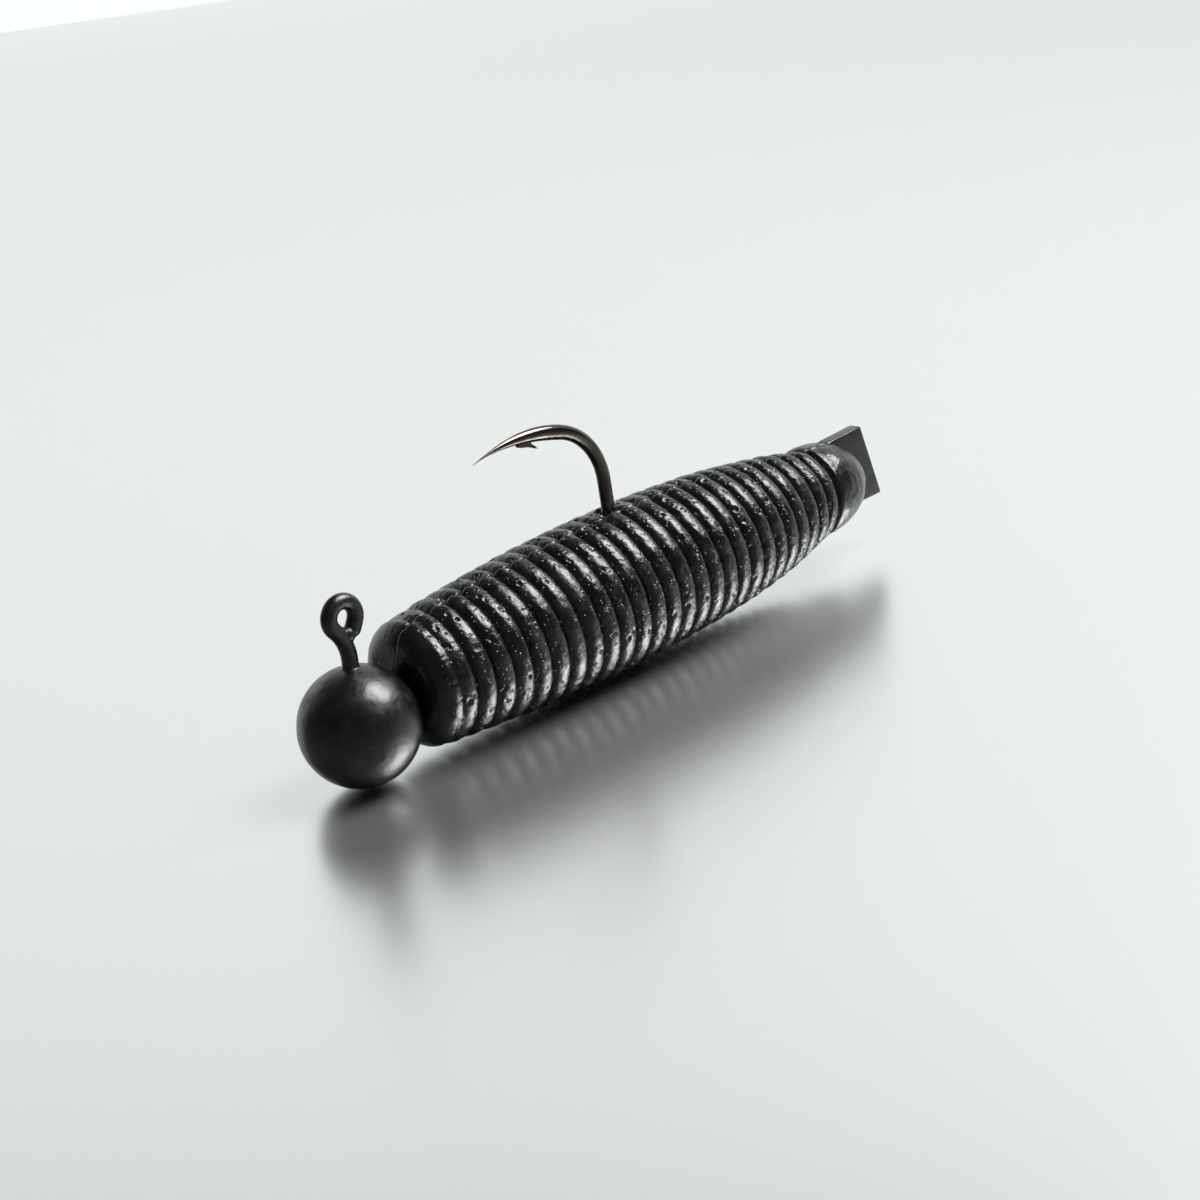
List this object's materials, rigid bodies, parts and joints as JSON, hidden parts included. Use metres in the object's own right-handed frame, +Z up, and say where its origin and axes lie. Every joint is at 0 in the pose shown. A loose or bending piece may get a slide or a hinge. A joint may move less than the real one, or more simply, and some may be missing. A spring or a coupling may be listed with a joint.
{
  "type": "rigged ball jig head",
  "caption": "Ball jig head with an upright line eye and a single barbed hook, rigged with a ribbed soft grub bait that flexes behind the hook and ends in an upright tail fin.",
  "frame": {"origin": "on the surface that the lure lies on, under the middle of its length and width", "axes": "+X from the ball to the tail along the shank, +Z up on the side where the hook's point and line eye stand, the hook in the XZ plane"},
  "size_m": [0.0384, 0.0078, 0.0129],
  "materials": {
    "head_paint": "satin black paint over the ball, the sealed slot and the eye",
    "hook_steel": "black nickel plated wire, glossy",
    "keeper_steel": "plain wire-drawn steel",
    "slot_sealant": "hard sealing resin, painted over",
    "soft_bait": "glossy salted soft plastic, blue-black"
  },
  "bodies": {
    "head_and_hook": {"head_ball": "head_paint", "slot_filler": "slot_sealant", "hook": "hook_steel", "bait_keeper": "keeper_steel", "bait_front": "soft_bait"},
    "section_1": {"bait_section_1": "soft_bait"},
    "section_2": {"bait_section_2": "soft_bait"},
    "section_3": {"bait_section_3": "soft_bait"},
    "section_4": {"bait_section_4": "soft_bait"},
    "section_5": {"bait_section_5": "soft_bait"},
    "section_6": {"bait_section_6": "soft_bait"},
    "tail": {"bait_tail": "soft_bait", "tail_fin": "soft_bait"}
  },
  "joints": [
    {"name": "sway_1", "type": "hinge", "parent": "head_and_hook", "child": "section_1", "pos_m": [0.00122, 0, 0.00387], "axis": [0, 0, 1], "range_deg": [-6, 6], "stiffness_Nm_per_rad": 0.004},
    {"name": "nod_1", "type": "hinge", "parent": "section_1", "child": "section_2", "pos_m": [0.00327, 0, 0.00387], "axis": [0, 1, 0], "range_deg": [-8, 8], "stiffness_Nm_per_rad": 0.005},
    {"name": "sway_2", "type": "hinge", "parent": "section_2", "child": "section_3", "pos_m": [0.0053, 0, 0.00387], "axis": [0, 0, 1], "range_deg": [-6, 6], "stiffness_Nm_per_rad": 0.004},
    {"name": "nod_2", "type": "hinge", "parent": "section_3", "child": "section_4", "pos_m": [0.00734, 0, 0.00387], "axis": [0, 1, 0], "range_deg": [-8, 8], "stiffness_Nm_per_rad": 0.005},
    {"name": "sway_3", "type": "hinge", "parent": "section_4", "child": "section_5", "pos_m": [0.00938, 0, 0.00387], "axis": [0, 0, 1], "range_deg": [-6, 6], "stiffness_Nm_per_rad": 0.004},
    {"name": "nod_3", "type": "hinge", "parent": "section_5", "child": "section_6", "pos_m": [0.01142, 0, 0.00387], "axis": [0, 1, 0], "range_deg": [-8, 8], "stiffness_Nm_per_rad": 0.005},
    {"name": "tail_sway", "type": "hinge", "parent": "section_6", "child": "tail", "pos_m": [0.01346, 0, 0.00387], "axis": [0, 0, 1], "range_deg": [-6, 6], "stiffness_Nm_per_rad": 0.004}
  ],
  "couplings": [
    {"joint": "sway_2", "follows": "sway_1", "ratio": 1},
    {"joint": "nod_2", "follows": "nod_1", "ratio": 1},
    {"joint": "sway_3", "follows": "sway_1", "ratio": 1},
    {"joint": "nod_3", "follows": "nod_1", "ratio": 1}
  ]
}
